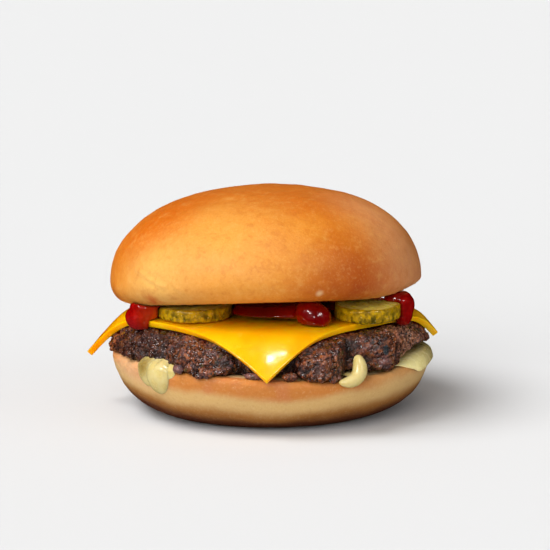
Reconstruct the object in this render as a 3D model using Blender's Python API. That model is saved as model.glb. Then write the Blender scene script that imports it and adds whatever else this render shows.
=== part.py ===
"""Cheeseburger: bun heel, pale sauce, beef patty, cheese slice, two pickle chips, ketchup and bun crown.

Metres, +Z up. The origin is the middle of the heel's flat base, and -Y is the side that the cheese corner
hangs over. Angles around the burger are in degrees from +X, so -90 is the front.
"""

import math

import bmesh
import bpy
from mathutils import Euler, Matrix, Vector, noise

GAP = 0.00035  # clearance between pieces that rest on each other
BUN_SEGMENTS = 54

# Heel: the lower half of a round bun, cut just above its widest level
HEEL_RADIUS = 0.0532
HEEL_HEIGHT = 0.0174
HEEL_WIDEST_Z = 0.0152
HEEL_BASE_RADIUS = 0.0362
HEEL_RIM_INSET = 0.0018
HEEL_ROUNDNESS = 1.68
RIM_ROUNDNESS = 2.1
# The soft edge curls up round the patty: angle, half-width in degrees, metres
HEEL_RISES = (
    (-172, 30, 0.0024),
    (-130, 22, 0.0022),
    (-98, 20, 0.0014),
    (-16, 24, 0.0024),
    (35, 30, 0.0016),
    (80, 30, 0.0012),
    (130, 30, 0.0016),
)
RISE_FROM, RISE_TO = 0.034, 0.0505  # radii between which it curls up
RISE_FROM_Z = 0.3 * HEEL_WIDEST_Z  # the side starts to follow the curl at this height
CRUST_FALL = 0.004  # how far the crust is taken to drop outside the widest radius, for each rim inset
SWELLS = ((2, 0.6, 0.004), (3, 1.9, 0.003))  # waves round the bun, their phase, share of its radius

# Crown: the domed upper half, tipped back so that its front edge stands open
CROWN_RADIUS = 0.0521
CROWN_CUT_RADIUS = 0.0456
CROWN_SHOULDER = 0.0070  # from the cut face up to the widest level
CROWN_DOME = 0.0300  # from the widest level up to the top
CROWN_ROUNDNESS = 2.17
CROWN_SHOULDER_ROUNDNESS = 1.95
CROWN_LUMP = 0.030  # size of the soft swellings in the dome
CROWN_WIDEN, CROWN_RAISE = 0.008, 0.012  # share that they add across, and up
CROWN_CENTRE = Vector((-0.0015, 0.0, 0.0367))
CROWN_TILT = math.radians(5.4)  # front edge up
CROWN_ROLL = math.radians(1.6)  # right side up
CROWN_SAG = 0.0010  # the soft bun droops at its left and right, over the fillings
CROWN_TEAR = (-8, 22, 0.0029)  # angle, half-width and height of the torn notch in its lower edge

# Patty: a loosely pressed beef disc with a ragged edge
PATTY_RADIUS = 0.0512
PATTY_BOTTOM = HEEL_HEIGHT + 0.0016
PATTY_TOP = 0.0307
PATTY_EDGE = 0.0062
PATTY_WAIST = 0.42  # share of its thickness at which its edge stands out the farthest
PATTY_SEGMENTS = 86
PATTY_CLEAR = 0.0005  # how far its edge stays off the heel's crust
# Radii between which it sinks past the sauce, and how far
PATTY_SINKS = ((0.0480, 0.0505, 0.0009), (0.0510, 0.0535, 0.0008))
LIFT_FROM, LIFT_TO = 0.0430, 0.0500
SAG_FROM, SAG_TO = 0.0510, 0.0545
OVERHANG_FROM, OVERHANG_TO = 0.0515, 0.0540  # outside the heel's curled edge it no longer rests on it
# The fillings lie lower towards the back: how much, and from where to where
PATTY_BACK_DROP = 0.0024
BACK_FROM, BACK_TO = -0.005, 0.040
# Crags in the patty's edge: size, depth
CRAGS = ((0.0062, 0.0016), (0.0030, 0.0009))
PIT_SIZE, PIT_DEPTH = 0.005, 0.0006
RAGGED_PITCH, RAGGED_DEPTH = 7.0, 0.0012  # of the unevenness all round its outline
# Where the underside is drawn up, so that the sauce shows: angle, half-width in degrees, metres
PATTY_LIFTS = ((-136, 18, 0.0013), (-14, 20, 0.0028))
# Where the edge sags past the heel's rim, in the same form
PATTY_SAGS = ((-166, 20, 0.0030), (-108, 15, 0.0022), (-90, 8, 0.0014), (-74, 9, 0.0034), (-46, 10, 0.0014))
PATTY_TOP_ROUNDNESS, PATTY_BOTTOM_ROUNDNESS = 2.4, 3.4
# Ragged lobes and clefts in the edge: angle, half-width in degrees, metres out
PATTY_LOBES = (
    (-174, 13, 0.0034),
    (-152, 8, 0.0012),
    (-137, 8, -0.0010),
    (-114, 10, 0.0032),
    (-102, 5, -0.0030),
    (-90, 6, -0.0008),
    (-83, 4, -0.0030),
    (-72, 9, 0.0036),
    (-58.5, 4.5, -0.0046),
    (-43, 9, 0.0022),
    (-27, 6, -0.0014),
    (-4, 12, 0.0014),
    (24, 8, -0.0012),
    (42, 11, 0.0020),
    (68, 9, -0.0010),
    (91, 11, 0.0014),
    (118, 8, -0.0014),
    (138, 10, 0.0022),
    (161, 8, -0.0012),
)

# Cheese: a square slice laid cornerwise, its corners hanging over the patty
SLICE_SIDE = 0.0895
SLICE_THICKNESS = 0.0022
SLICE_CENTRE = Vector((-0.0022, 0.0004, 0.0))
SLICE_TURN = math.radians(45.8)
SLICE_CELLS = 17
SLICE_TOP = PATTY_TOP + GAP + SLICE_THICKNESS
BEND_RADIUS = 0.0080
TUCK_GAP = 1.9 * GAP  # room left between the slice's bend and the patty
TUCK_FROM, TUCK_TO = 0.0010, 0.0060  # distances outside the slice's sides over which the tucking ends
# How the slice hangs: angle, where the bend starts, how steep it hangs, how far the warm corner stretched
HANG = (
    (-180, 0.0450, 50, 1.17),
    (-160, 0.0455, 48, 1.08),
    (-137, 0.0430, 45, 1.0),
    (-91, 0.0420, 51, 1.0),
    (-46, 0.0424, 45, 1.0),
    (3, 0.0450, 52, 0.96),
    (26, 0.0410, 48, 1.0),
    (60, 0.0430, 45, 1.0),
    (92, 0.0430, 52, 1.0),
    (125, 0.0430, 45, 1.0),
    (158, 0.0405, 48, 1.05),
    (180, 0.0450, 50, 1.17),
)

# Pickle chips: x, y, radius, thickness, lean in degrees towards the front
PICKLE_SOFT = 0.0007  # radius of their rounded edges
PICKLE_SEGMENTS = 28
PICKLE_WAVES = ((3, 1, 0.018), (5, 2, 0.010))  # waves round the outline, turns of the phase, share
PICKLE_SQUEEZE = 0.35  # share of the opening that a chip's underside may take where the crown presses it
PICKLES = (
    (-0.0246, -0.0222, 0.0122, 0.0042, 2.0),
    (0.0309, -0.0245, 0.0107, 0.0046, 3.0),
)

# Sauce: a thin spread under the patty, with tongues that run over the heel's rim
SAUCE_RADIUS = 0.0475
SAUCE_LAYER = 0.0006
SAUCE_FLOAT = 0.0005  # how far its underside stays off the heel's crust
SAUCE_RIM_LIFT = 0.0008  # more room over the rim, where its flat facets would cut the round crust
SAUCE_RIM_RUN = 0.004  # distance over which that room grows
SAUCE_WAVES = ((5, 0.0008), (11, 0.0006))  # waves round its edge, and their size
SIDE_FROM = HEEL_RADIUS - 2.8 * HEEL_RIM_INSET  # radius from which the way down the heel's side is measured
TONGUE_ROOT = 0.006  # how far inside the spread's edge a tongue starts
TONGUE_NECK = 0.85  # share of its width there
TONGUE_LIFT = 0.00012  # more room under a tongue, so that it meets the spread
# Tongues: angle, half-width, how far below the rim they reach, thickness
SAUCE_TONGUES = (
    (-139.4, 0.0040, 0.0070, 0.0011),
    (-131.4, 0.0056, 0.0082, 0.0021),
    (-60.4, 0.0030, 0.0018, 0.0012),
)
# The curl of sauce in front of the cleft: x, y, z and radius along its middle
SAUCE_CURL = (
    (0.0270, -0.0445, 0.0252, 0.0012),
    (0.0277, -0.0455, 0.0236, 0.0023),
    (0.0281, -0.0463, 0.0216, 0.0028),
    (0.0279, -0.0469, 0.0196, 0.0029),
    (0.0266, -0.0476, 0.0181, 0.0027),
    (0.0248, -0.0483, 0.0174, 0.0023),
    (0.0229, -0.0489, 0.0173, 0.0016),
    (0.0214, -0.0493, 0.0176, 0.0008),
)
# The broad spill over the right edge: first and last angle, and its reach below the rim
SPILL_FROM, SPILL_TO, SPILL_REACH = -38.0, 10.0, 0.0056
SPILL_FADE = 12  # degrees over which its ends rise

# Ketchup: a pool between slice and crown that bulges out at three places
KETCHUP_CENTRE = Vector((0.002, -0.004, 0.0))
KETCHUP_RADIUS = 0.019
KETCHUP_EDGE = 0.25  # share of the opening's height at which the pool's edge lies
KETCHUP_CLEAR = GAP + 0.0001
# Arms: angle, half-width in degrees, metres out
KETCHUP_ARMS = (
    (-100, 36, 0.0110),
    (-72, 11, 0.0080),
    (-157, 9, 0.0100),
    (-169, 15, 0.0245),
    (-21, 9, 0.0265),
    (10, 20, 0.0195),
    (31, 10, 0.0100),
)
# Drops that bulge out between the chips: centre, then radii
KETCHUP_DROPS = (
    ((-0.0415, -0.0220, 0.0332), (0.0060, 0.0052, 0.0045)),
    ((-0.0400, -0.0232, 0.0368), (0.0058, 0.0047, 0.0050)),
    ((0.0122, -0.0352, 0.0370), (0.0048, 0.0046, 0.0046)),
    ((0.0142, -0.0356, 0.0354), (0.0053, 0.0050, 0.0049)),
    ((0.0419, -0.0190, 0.0368), (0.0052, 0.0048, 0.0048)),
    ((0.0430, -0.0194, 0.0340), (0.0034, 0.0043, 0.0044)),
)


def clear_scene():
    for obj in list(bpy.data.objects):
        bpy.data.objects.remove(obj)


def material(name, colour, roughness):
    """A Principled BSDF of one colour, roughness and no metal."""
    made = bpy.data.materials.new(name)
    made.use_nodes = True
    shader = made.node_tree.nodes["Principled BSDF"]
    shader.inputs["Base Color"].default_value = (*colour, 1)
    shader.inputs["Roughness"].default_value = roughness
    shader.inputs["Metallic"].default_value = 0.0
    return made


def add_object(name, shape, finish=None):
    """Makes a smooth-shaded object from a bmesh, with its normals pointing out."""
    bmesh.ops.recalc_face_normals(shape, faces=shape.faces)
    mesh = bpy.data.meshes.new(name)
    shape.to_mesh(mesh)
    shape.free()
    mesh.shade_smooth()
    mesh.set_sharp_from_angle(angle=math.radians(50))
    obj = bpy.data.objects.new(name, mesh)
    bpy.context.scene.collection.objects.link(obj)
    if finish:
        mesh.materials.append(finish)
    return obj


def smooth_between(low, high, x):
    t = min(1.0, max(0.0, (x - low) / (high - low)))
    return t * t * (3 - 2 * t)


def angle_apart(a, b):
    """The difference of two angles in degrees, from -180 to 180."""
    return (a - b + 180) % 360 - 180


def bump(angle, middle, half_width):
    return math.exp(-((angle_apart(angle, middle) / half_width) ** 2))


def back_drop(y):
    """How much lower the fillings lie this far back."""
    return PATTY_BACK_DROP * smooth_between(BACK_FROM, BACK_TO, y)


def quarter(roundness, steps):
    """Points (across, up) along a quarter of a superellipse, from (1, 0) to (0, 1)."""
    made = []
    for i in range(steps + 1):
        t = 0.5 * math.pi * i / steps
        power = 2 / roundness
        made.append((max(0.0, math.cos(t)) ** power, math.sin(t) ** power))
    return made


def spin(profile, segments):
    """Turns (radius, height) points about Z. The profile starts and ends on the axis."""
    shape = bmesh.new()
    verts = [shape.verts.new((r, 0, z)) for r, z in profile]
    edges = [shape.edges.new(pair) for pair in zip(verts, verts[1:])]
    bmesh.ops.spin(
        shape,
        geom=verts + edges,
        cent=(0, 0, 0),
        axis=(0, 0, 1),
        angle=2 * math.pi,
        steps=segments,
        use_duplicate=False,
    )
    bmesh.ops.remove_doubles(shape, verts=shape.verts, dist=1e-5)
    return shape


# Heel

def heel_profile():
    """(radius, height) from the middle of the base, up the side, to the middle of the cut face."""
    reach = HEEL_RADIUS - HEEL_BASE_RADIUS
    lower = [
        (HEEL_BASE_RADIUS + reach * across, HEEL_WIDEST_Z * (1 - up))
        for across, up in quarter(HEEL_ROUNDNESS, 9)
    ]
    upper = [
        (HEEL_RADIUS - HEEL_RIM_INSET * (1 - across), HEEL_WIDEST_Z + (HEEL_HEIGHT - HEEL_WIDEST_Z) * up)
        for across, up in quarter(RIM_ROUNDNESS, 3)
    ]
    base = [(0, 0), (HEEL_BASE_RADIUS * 0.55, 0)]
    face = [(HEEL_RADIUS * share, HEEL_HEIGHT) for share in (0.89, 0.82, 0.74, 0.64, 0)]
    return base + lower[::-1] + upper[1:] + face


def heel_swell(angle):
    """How much wider the hand-shaped bun is at this angle, as a factor."""
    a = math.radians(angle)
    return 1 + sum(share * math.sin(waves * a + phase) for waves, phase, share in SWELLS)


def heel_rise(r, angle, height=HEEL_HEIGHT):
    """How far the heel's soft edge has curled up here."""
    curl = sum(rise * bump(angle, middle, width) for middle, width, rise in HEEL_RISES)
    curl *= smooth_between(RISE_FROM, RISE_TO, r)
    return curl * smooth_between(RISE_FROM_Z, HEEL_WIDEST_Z, height)


def heel_outside():
    """(arc length, radius, height, normal) samples down the heel's outer side, from the rim."""
    side = [p for p in reversed(heel_profile()) if p[0] > SIDE_FROM]
    samples, length = [], 0.0
    for here, there in zip(side, side[1:]):
        step = Vector((there[0] - here[0], there[1] - here[1]))
        samples.append((length, Vector(here), Vector((-step.y, step.x)).normalized()))
        length += step.length
    return samples


def on_heel(run, angle, lift):
    """The point at this distance outwards from the axis along the heel's cut face, over the rim
    and down its side, lifted off the crust."""
    rim = HEEL_RADIUS - HEEL_RIM_INSET
    lift += SAUCE_RIM_LIFT * smooth_between(rim - SAUCE_RIM_RUN, rim, run)
    if run <= rim:
        flat, normal = Vector((run, HEEL_HEIGHT)), Vector((0, 1))
    else:
        side = heel_outside()
        past = run - rim
        later = next((i for i, s in enumerate(side) if s[0] > past), len(side) - 1)
        before, after = side[max(0, later - 1)], side[later]
        share = (past - before[0]) / max(1e-9, after[0] - before[0])
        flat = before[1].lerp(after[1], min(1.0, share))
        normal = before[2].lerp(after[2], min(1.0, share)).normalized()
    spot = flat + normal * lift
    a = math.radians(angle)
    r = spot.x * heel_swell(angle)
    return Vector((r * math.cos(a), r * math.sin(a), spot.y + heel_rise(spot.x, angle, spot.y)))


def make_heel(finish):
    shape = spin(heel_profile(), BUN_SEGMENTS)
    for vert in shape.verts:
        angle = math.degrees(math.atan2(vert.co.y, vert.co.x))
        vert.co.z += heel_rise(vert.co.xy.length, angle, vert.co.z)
        vert.co.x *= heel_swell(angle)
        vert.co.y *= heel_swell(angle)
    return add_object("bun_heel", shape, finish)


# Crown

def crown_turn():
    return Matrix.Translation(CROWN_CENTRE) @ Euler((-CROWN_TILT, -CROWN_ROLL, 0)).to_matrix().to_4x4()


def crown_sag(x, y, height):
    """How far the crown's own soft body is lifted at the front and back, and dropped at its sides."""
    along = (y * y - x * x) / CROWN_CUT_RADIUS**2
    return CROWN_SAG * along * (1 - smooth_between(0, CROWN_SHOULDER + CROWN_DOME, height))


def under_crown(x, y):
    """Height of the crown's cut face above a point of the ground."""
    dx, dy = x - CROWN_CENTRE.x, y - CROWN_CENTRE.y
    flat = CROWN_CENTRE.z - dy * math.tan(CROWN_TILT) + dx * math.tan(CROWN_ROLL)
    return flat + crown_sag(dx, dy, 0)


def make_crown(finish):
    flare = CROWN_RADIUS - CROWN_CUT_RADIUS
    shoulder = [
        (CROWN_CUT_RADIUS + flare * across, CROWN_SHOULDER * (1 - up))
        for across, up in quarter(CROWN_SHOULDER_ROUNDNESS, 5)
    ]
    dome = [
        (CROWN_RADIUS * across, CROWN_SHOULDER + CROWN_DOME * up)
        for across, up in quarter(CROWN_ROUNDNESS, 12)
    ]
    dome[-1] = (0, dome[-1][1])
    face = [(0, 0)] + [(CROWN_CUT_RADIUS * share, 0) for share in (0.3, 0.55, 0.8)]
    shape = spin(face + shoulder[::-1] + dome[1:], BUN_SEGMENTS)
    for vert in shape.verts:
        x, y, z = vert.co
        uneven = noise.noise(Vector((x, y, z)) / CROWN_LUMP + Vector((4.1, 0, 0)))
        widen = 1 + CROWN_WIDEN * uneven * smooth_between(0, CROWN_SHOULDER, z)
        middle, width, depth = CROWN_TEAR
        torn = depth * bump(math.degrees(math.atan2(y, x)), middle, width)
        torn *= smooth_between(0.8 * CROWN_CUT_RADIUS, CROWN_CUT_RADIUS, math.hypot(x, y))
        torn *= 1 - smooth_between(0, CROWN_SHOULDER, z)
        vert.co = Vector((x * widen, y * widen, z * (1 + CROWN_RAISE * uneven) + crown_sag(x, y, z) + torn))
    crown = add_object("bun_crown", shape, finish)
    crown.matrix_world = crown_turn()
    return crown


# Patty

def patty_edge(angle):
    lobes = sum(out * bump(angle, middle, width) for middle, width, out in PATTY_LOBES)
    a = math.radians(angle)
    ragged = noise.noise(Vector((math.cos(a), math.sin(a), 0)) * RAGGED_PITCH) * RAGGED_DEPTH
    return PATTY_RADIUS + lobes + ragged


def patty_top(x, y):
    return PATTY_TOP - back_drop(y)


def heel_top(r, angle):
    """Height of the heel's crust, from the middle of its cut face out over the rim."""
    past = (r - HEEL_RADIUS + HEEL_RIM_INSET) / HEEL_RIM_INSET
    curve = (1 - min(1.0, max(0.0, past)) ** RIM_ROUNDNESS) ** (1 / RIM_ROUNDNESS)
    flat = HEEL_WIDEST_Z + (HEEL_HEIGHT - HEEL_WIDEST_Z) * curve - CRUST_FALL * max(0.0, past - 1)
    return flat + heel_rise(r, angle)


def patty_bottom(r, angle):
    """The patty is held up by the sauce in the middle, and sinks past it at its edge."""
    sunk = sum(depth * smooth_between(near, far, r) for near, far, depth in PATTY_SINKS)
    lifts = sum(rise * bump(angle, middle, width) for middle, width, rise in PATTY_LIFTS)
    sags = sum(drop * bump(angle, middle, width) for middle, width, drop in PATTY_SAGS)
    rise = heel_rise(r, angle) * (1 - smooth_between(OVERHANG_FROM, OVERHANG_TO, r))
    low = PATTY_BOTTOM - sunk + rise + lifts * smooth_between(LIFT_FROM, LIFT_TO, r)
    return max(low - sags * smooth_between(SAG_FROM, SAG_TO, r), heel_top(r, angle) + PATTY_CLEAR)


def tucked(spot):
    """The point, brought inside the draped slice's underside where it would stand out of it."""
    flat = Matrix.Rotation(-SLICE_TURN, 2) @ (spot.xy - SLICE_CENTRE.xy)
    outside = max(abs(flat.x), abs(flat.y)) - 0.5 * SLICE_SIDE
    angle = math.degrees(math.atan2(spot.y, spot.x))
    start, steep, _ = hang_at(angle)
    tight = BEND_RADIUS - SLICE_THICKNESS - TUCK_GAP
    r, back = spot.xy.length, back_drop(spot.y)
    height = spot.z + back - (PATTY_TOP + GAP - (BEND_RADIUS - SLICE_THICKNESS))
    turn = min(steep, math.atan2(r - start, height)) if height > 0 else steep
    out, rise = math.sin(turn), math.cos(turn)
    beyond = (r - start) * out + height * rise - tight
    beyond *= 1 - smooth_between(TUCK_FROM, TUCK_TO, outside)
    if r > start and beyond > 0:
        r -= beyond * out
        a = math.radians(angle)
        return Vector((r * math.cos(a), r * math.sin(a), spot.z - beyond * rise))
    return spot


def make_patty(finish):
    """A round-edged disc whose outline follows the lobes, roughened by crumbs of ground beef."""
    inner = (0.0, 0.35, 0.65, 0.85)
    # Each point: share of the flat part, how far out in the rounded edge (0 to 1), height (-1 to 1)
    profile = [(share, 0, -1) for share in inner]
    profile += [(1, across, -up) for across, up in quarter(PATTY_BOTTOM_ROUNDNESS, 4)[:0:-1]]
    profile += [(1, across, up) for across, up in quarter(PATTY_TOP_ROUNDNESS, 5)]
    profile += [(share, 0, 1) for share in reversed(inner)]
    steps = [0.001 * i for i in range(len(profile))]
    shape = spin(list(zip([0, *steps[1:-1], 0], steps)), PATTY_SEGMENTS)
    waist = PATTY_BOTTOM + PATTY_WAIST * (PATTY_TOP - PATTY_BOTTOM)
    for vert in shape.verts:
        share, across, up = profile[round(1000 * vert.co.z)]
        angle = math.degrees(math.atan2(vert.co.y, vert.co.x))
        a = math.radians(angle)
        r = share * (patty_edge(angle) - PATTY_EDGE) + PATTY_EDGE * across
        low, high = patty_bottom(r, angle), patty_top(r * math.cos(a), r * math.sin(a))
        z = waist + up * ((high - waist) if up > 0 else (waist - low))
        spot = Vector((r * math.cos(a), r * math.sin(a), z))
        out = Vector((across * math.cos(a), across * math.sin(a), up * abs(up)))
        crag = sum(noise.noise(spot / size) * depth for size, depth in CRAGS)
        spot += out * crag * smooth_between(0.3, 0.9, share)
        pit = PIT_DEPTH * smooth_between(-0.1, 0.5, noise.noise(spot / PIT_SIZE))
        spot.z = min(max(spot.z, patty_bottom(spot.xy.length, angle)), patty_top(spot.x, spot.y) - pit)
        vert.co = tucked(spot)
    return add_object("beef_patty", shape, finish)


# Cheese

def hang_at(angle):
    """Where the bend starts at this angle, how steep the slice hangs, and its stretch."""
    for here, there in zip(HANG, HANG[1:]):
        if here[0] <= angle <= there[0]:
            share = smooth_between(here[0], there[0], angle)
            start, steep, stretch = (a + (b - a) * share for a, b in zip(here[1:], there[1:]))
            return start, math.radians(steep), stretch


def draped(x, y, depth):
    """Where a point of the flat slice ends up, this far below the slice's upper side."""
    r, angle = math.hypot(x, y), math.degrees(math.atan2(y, x))
    start, steep, stretch = hang_at(angle)
    past = max(0.0, r - start) * stretch
    turn = min(past / BEND_RADIUS, steep)
    straight = max(0.0, past - BEND_RADIUS * steep)
    out = min(r, start) + (BEND_RADIUS - depth) * math.sin(turn) + straight * math.cos(turn)
    drop = BEND_RADIUS - (BEND_RADIUS - depth) * math.cos(turn) + straight * math.sin(turn)
    a = math.radians(angle)
    back = back_drop(y)
    return Vector((out * math.cos(a), out * math.sin(a), SLICE_TOP - back - drop))


def make_cheese(finish):
    """A square grid turned 45 degrees, given its thickness and laid over the patty."""
    shape = bmesh.new()
    bmesh.ops.create_grid(shape, x_segments=SLICE_CELLS, y_segments=SLICE_CELLS, size=SLICE_SIDE / 2)
    bmesh.ops.solidify(shape, geom=shape.faces[:], thickness=SLICE_THICKNESS)
    low = min(vert.co.z for vert in shape.verts)
    high = max(vert.co.z for vert in shape.verts)
    turned = Matrix.Rotation(SLICE_TURN, 3, "Z")
    for vert in shape.verts:
        depth = SLICE_THICKNESS * (high - vert.co.z) / (high - low)
        flat = turned @ vert.co + SLICE_CENTRE
        vert.co = draped(flat.x, flat.y, depth)
    return add_object("cheese_slice", shape, finish)


# Pickles

def pickle_shape(radius, thickness, wobble_seed):
    """A round chip with softly rounded edges and a slightly uneven outline."""
    soft = PICKLE_SOFT
    rise = thickness - 2 * soft
    corner = [(radius - soft * (1 - across), soft * up) for across, up in quarter(2, 2)]
    lower = [(r, soft - z) for r, z in corner][::-1]
    upper = [(r, soft + rise + z) for r, z in corner]
    under, over = [(0, 0), (radius * 0.5, 0)], [(radius * 0.5, thickness), (0, thickness)]
    shape = spin(under + lower + upper + over, PICKLE_SEGMENTS)
    for vert in shape.verts:
        a = math.atan2(vert.co.y, vert.co.x)
        waves = (share * math.sin(count * a + turns * wobble_seed) for count, turns, share in PICKLE_WAVES)
        widen = 1 + sum(waves)
        vert.co.x *= widen
        vert.co.y *= widen
    return shape


def pickle_place(x, y, radius, lean):
    """The chip's frame: it lies on the slice and leans a little to the front."""
    tip = math.radians(lean)
    rise = SLICE_TOP + GAP + 0.2 * radius * math.sin(tip)
    return Matrix.Translation((x, y, rise)) @ Matrix.Rotation(tip, 4, "X")


def make_pickles(finish):
    """Two chips, squeezed thinner towards the back by the crown that rests on them."""
    made = []
    for name, (x, y, radius, thickness, lean) in zip(("pickle_left", "pickle_right"), PICKLES):
        shape = pickle_shape(radius, thickness, 1.3 * len(made))
        bmesh.ops.transform(shape, matrix=pickle_place(x, y, radius, lean), verts=shape.verts)
        for vert in shape.verts:
            floor = SLICE_TOP + GAP - back_drop(vert.co.y)
            roof = under_crown(vert.co.x, vert.co.y) - 1.5 * GAP
            share = (vert.co.z - floor) / (thickness + 2 * radius * math.sin(math.radians(lean)))
            squeezed = PICKLE_SQUEEZE + (1 - PICKLE_SQUEEZE) * min(1.0, share)
            vert.co.z = min(vert.co.z, floor + (roof - floor) * squeezed)
            vert.co.z = min(vert.co.z, roof)
        made.append(add_object(name, shape, finish))
    return made


# Cutting and joining soft fillings

def settled(obj):
    """A copy of the object's evaluated mesh, in world space."""
    bpy.context.view_layer.update()
    graph = bpy.context.evaluated_depsgraph_get()
    mesh = bpy.data.meshes.new_from_object(obj.evaluated_get(graph))
    mesh.transform(obj.matrix_world)
    return mesh


def combine(obj, joined, cutters):
    """Joins objects to this one, then cuts others from it, and drops loose scraps."""
    for others, operation in ((joined, "UNION"), (cutters, "DIFFERENCE")):
        for other in others:
            step = obj.modifiers.new(operation.lower(), "BOOLEAN")
            step.operation = operation
            step.solver = "MANIFOLD"  # the sauce's folds touch
            step.object = other
    mesh = settled(obj)
    obj.modifiers.clear()
    obj.matrix_world = Matrix.Identity(4)
    shape = bmesh.new()
    shape.from_mesh(mesh)
    keep_largest(shape)
    bmesh.ops.triangulate(shape, faces=shape.faces)
    shape.to_mesh(obj.data)
    shape.free()
    bpy.data.meshes.remove(mesh)
    for other in (*joined, *cutters):
        bpy.data.objects.remove(other)


def keep_largest(shape):
    """Removes every part of the mesh that isn't joined to the biggest one."""
    left, parts = set(shape.verts), []
    while left:
        front = [left.pop()]
        part = set(front)
        while front:
            near = {edge.other_vert(vert) for vert in front for edge in vert.link_edges} - part
            part |= near
            left -= near
            front = list(near)
        parts.append(part)
    parts.sort(key=len)
    loose = [vert for part in parts[:-1] for vert in part]
    bmesh.ops.delete(shape, geom=loose, context="VERTS")


def grown(obj, amount):
    """A copy of a piece with its surface moved out, to cut the room that piece needs."""
    mesh = settled(obj)
    shape = bmesh.new()
    shape.from_mesh(mesh)
    shape.normal_update()
    moves = [vert.normal * amount * vert.calc_shell_factor() for vert in shape.verts]
    for vert, move in zip(shape.verts, moves):
        vert.co += move
    bpy.data.meshes.remove(mesh)
    return add_object("cutter", shape)


def ball(centre, radii):
    shape = bmesh.new()
    bmesh.ops.create_uvsphere(shape, u_segments=12, v_segments=8, radius=1)
    bmesh.ops.transform(shape, matrix=Matrix.LocRotScale(centre, None, radii), verts=shape.verts)
    return add_object("ball", shape)


# Sauce

def pool(rings, segments, crowding, place):
    """A closed lens in polar form: place(share, angle, side) gives its upper and lower points.
    The lower the crowding, the closer its rings stand towards the edge."""
    shape = bmesh.new()
    shares = [((i + 1) / rings) ** crowding for i in range(rings)]
    angles = [360 * i / segments for i in range(segments)]
    edge = [shape.verts.new(place(1.0, angle, 0)) for angle in angles]
    for side in (-1, 1):
        tip = shape.verts.new(place(0.0, 0.0, side))
        loops = [[shape.verts.new(place(s, angle, side)) for angle in angles] for s in shares[:-1]]
        loops.append(edge)
        for i in range(segments):
            j = (i + 1) % segments
            shape.faces.new((tip, loops[0][i], loops[0][j]))
            for inner, outer in zip(loops, loops[1:]):
                shape.faces.new((inner[i], outer[i], outer[j], inner[j]))
    return shape


def sauce_spread():
    """The thin layer under the patty, with its broad spill over the right edge."""
    rim = HEEL_RADIUS - HEEL_RIM_INSET

    def reach(angle):
        wave = sum(size * math.sin(math.radians(waves * angle)) for waves, size in SAUCE_WAVES)
        turn = angle_apart(angle, 0)
        spill = smooth_between(SPILL_FROM - SPILL_FADE, SPILL_FROM + SPILL_FADE, turn)
        spill *= 1 - smooth_between(SPILL_TO - SPILL_FADE, SPILL_TO + SPILL_FADE, turn)
        return SAUCE_RADIUS + wave + (rim + SPILL_REACH - SAUCE_RADIUS) * spill

    def place(share, angle, side):
        lift = SAUCE_LAYER * math.sqrt(max(0.0, 1 - share**6)) * max(0, side)
        return on_heel(share * reach(angle), angle, SAUCE_FLOAT + lift)

    return add_object("sauce", pool(8, 56, 0.3, place))


def sauce_tongue(angle, half_width, reach, thickness):
    """A rounded tongue of sauce from under the patty, over the rim and down the heel's side."""
    rim = HEEL_RADIUS - HEEL_RIM_INSET
    start, end = SAUCE_RADIUS - TONGUE_ROOT, rim + reach
    middle, half = 0.5 * (start + end), 0.5 * (end - start)

    def place(share, turn, side):
        run = middle + half * share * math.cos(math.radians(turn))
        fullness = smooth_between(SAUCE_RADIUS, rim + 0.4 * reach, run)
        width = half_width * (TONGUE_NECK + (1 - TONGUE_NECK) * fullness)
        across = width * share * math.sin(math.radians(turn))
        height = SAUCE_LAYER + (thickness - SAUCE_LAYER) * fullness
        lift = TONGUE_LIFT + height * math.sqrt(max(0.0, 1 - share**2.6)) * max(0, side)
        return on_heel(run, angle + math.degrees(across / rim), SAUCE_FLOAT + lift)

    return add_object("tongue", pool(5, 16, 0.55, place))


def tube(points, sides):
    """A round tube of changing radius through (x, y, z, radius) points, closed at both ends."""
    shape = bmesh.new()
    line = [(Vector(p[:3]), p[3]) for p in points]
    rings = []
    for i, (spot, radius) in enumerate(line):
        ahead = line[min(i + 1, len(line) - 1)][0] - line[max(i - 1, 0)][0]
        turn = ahead.to_track_quat("Z", "Y").to_matrix()
        ring = []
        for k in range(sides):
            a = 2 * math.pi * k / sides
            out = Vector((radius * math.cos(a), radius * math.sin(a), 0))
            ring.append(shape.verts.new(spot + turn @ out))
        rings.append(ring)
    for first, second in zip(rings, rings[1:]):
        for k in range(sides):
            n = (k + 1) % sides
            shape.faces.new((first[k], first[n], second[n], second[k]))
    for ring, (spot, radius), outwards in ((rings[0], line[0], -1), (rings[-1], line[-1], 1)):
        other = line[1][0] if outwards < 0 else line[-2][0]
        tip = shape.verts.new(spot + (spot - other).normalized() * radius * 0.6)
        for k in range(sides):
            shape.faces.new((ring[k], ring[(k + 1) % sides], tip))
    return shape


def make_sauce(finish, patty, heel):
    spread = sauce_spread()
    spread.name = "pale_sauce"
    spread.data.materials.append(finish)
    curl = add_object("curl", tube(SAUCE_CURL, 10))
    combine(curl, [], [grown(heel, GAP)])
    joined = [curl] + [sauce_tongue(*tongue) for tongue in SAUCE_TONGUES]
    combine(spread, joined, [grown(patty, GAP)])
    return spread


# Ketchup

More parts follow.
